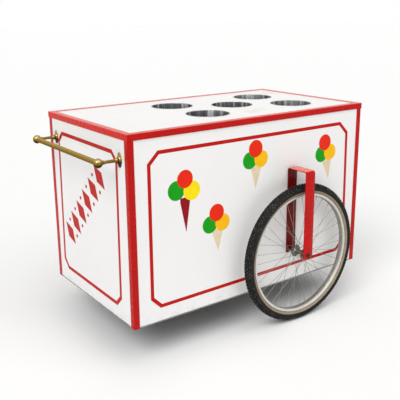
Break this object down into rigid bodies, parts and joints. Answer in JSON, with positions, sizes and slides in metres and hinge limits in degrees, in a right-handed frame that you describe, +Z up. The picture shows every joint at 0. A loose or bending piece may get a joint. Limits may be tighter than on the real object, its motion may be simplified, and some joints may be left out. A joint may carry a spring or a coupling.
{
  "type": "ice cream cart",
  "caption": "White box cart with round steel wells in its top, red mouldings, a brass push handle, spoked wheels in flat-bar brackets and a swivel caster.",
  "frame": {"origin": "on the floor under the centre of the whole cart's bounding box", "axes": "+Z up, +X along the cart away from the handle, +Y across the cart, -Y the pictured long side"},
  "size_m": [1.417, 0.991, 0.98],
  "materials": {
    "white_laminate": "white laminate, satin gloss, red line and cone ornament",
    "base_zinc": "galvanised sheet",
    "floor_ply": "plywood",
    "red_moulding": "glossy red paint",
    "red_bracket": "glossy red paint",
    "well_steel": "stainless, lightly brushed",
    "tyre_rubber": "black tread, tan side walls",
    "rim_alloy": "satin",
    "spoke_steel": "dull",
    "hub_steel": "dull, greasy",
    "axle_steel": "browned",
    "brass": "aged, polished by hands",
    "caster_zinc": "zinc plated",
    "caster_rubber": "grey-black, matt",
    "caster_core": "moulded"
  },
  "bodies": {
    "cart": {"front_panel": "white_laminate", "back_panel": "white_laminate", "handle_end_panel": "white_laminate", "far_end_panel": "white_laminate", "top_panel": "white_laminate", "base_sheet": "base_zinc", "floor_panel": "floor_ply", "corner_trim_front_near": "red_moulding", "corner_trim_front_far": "red_moulding", "corner_trim_back_near": "red_moulding", "corner_trim_back_far": "red_moulding", "lid_trim_front": "red_moulding", "lid_trim_back": "red_moulding", "lid_trim_handle_end": "red_moulding", "lid_trim_far_end": "red_moulding", "well_centre": "well_steel", "well_front_near": "well_steel", "well_front_far": "well_steel", "well_back_near": "well_steel", "well_back_far": "well_steel", "wheel_bracket_front": "red_bracket", "axle_front": "axle_steel", "axle_nuts_front": "axle_steel", "handle_post_front": "brass", "handle_rosette_front": "brass", "wheel_bracket_back": "red_bracket", "axle_back": "axle_steel", "axle_nuts_back": "axle_steel", "handle_post_back": "brass", "handle_rosette_back": "brass", "handle_bar": "brass", "caster_plate": "caster_zinc", "caster_kingpin": "caster_zinc"},
    "wheel_front": {"tyre_front": "tyre_rubber", "rim_front": "rim_alloy", "spokes_front": "spoke_steel", "hub_front": "hub_steel"},
    "wheel_back": {"tyre_back": "tyre_rubber", "rim_back": "rim_alloy", "spokes_back": "spoke_steel", "hub_back": "hub_steel"},
    "caster_fork": {"caster_fork": "caster_zinc", "caster_bolt": "caster_zinc"},
    "caster_wheel": {"caster_tyre": "caster_rubber", "caster_hub": "caster_core"}
  },
  "joints": [
    {"name": "wheel_front_spin", "type": "hinge", "parent": "cart", "child": "wheel_front", "pos_m": [0.2605, -0.4305, 0.33], "axis": [0, 1, 0], "continuous": true},
    {"name": "wheel_back_spin", "type": "hinge", "parent": "cart", "child": "wheel_back", "pos_m": [0.2605, 0.4305, 0.33], "axis": [0, 1, 0], "continuous": true},
    {"name": "caster_swivel", "type": "hinge", "parent": "cart", "child": "caster_fork", "pos_m": [-0.3355, 0, 0.14], "axis": [0, 0, 1], "continuous": true},
    {"name": "caster_wheel_spin", "type": "hinge", "parent": "caster_fork", "child": "caster_wheel", "pos_m": [-0.3755, 0, 0.0625], "axis": [0, 1, 0], "continuous": true}
  ]
}
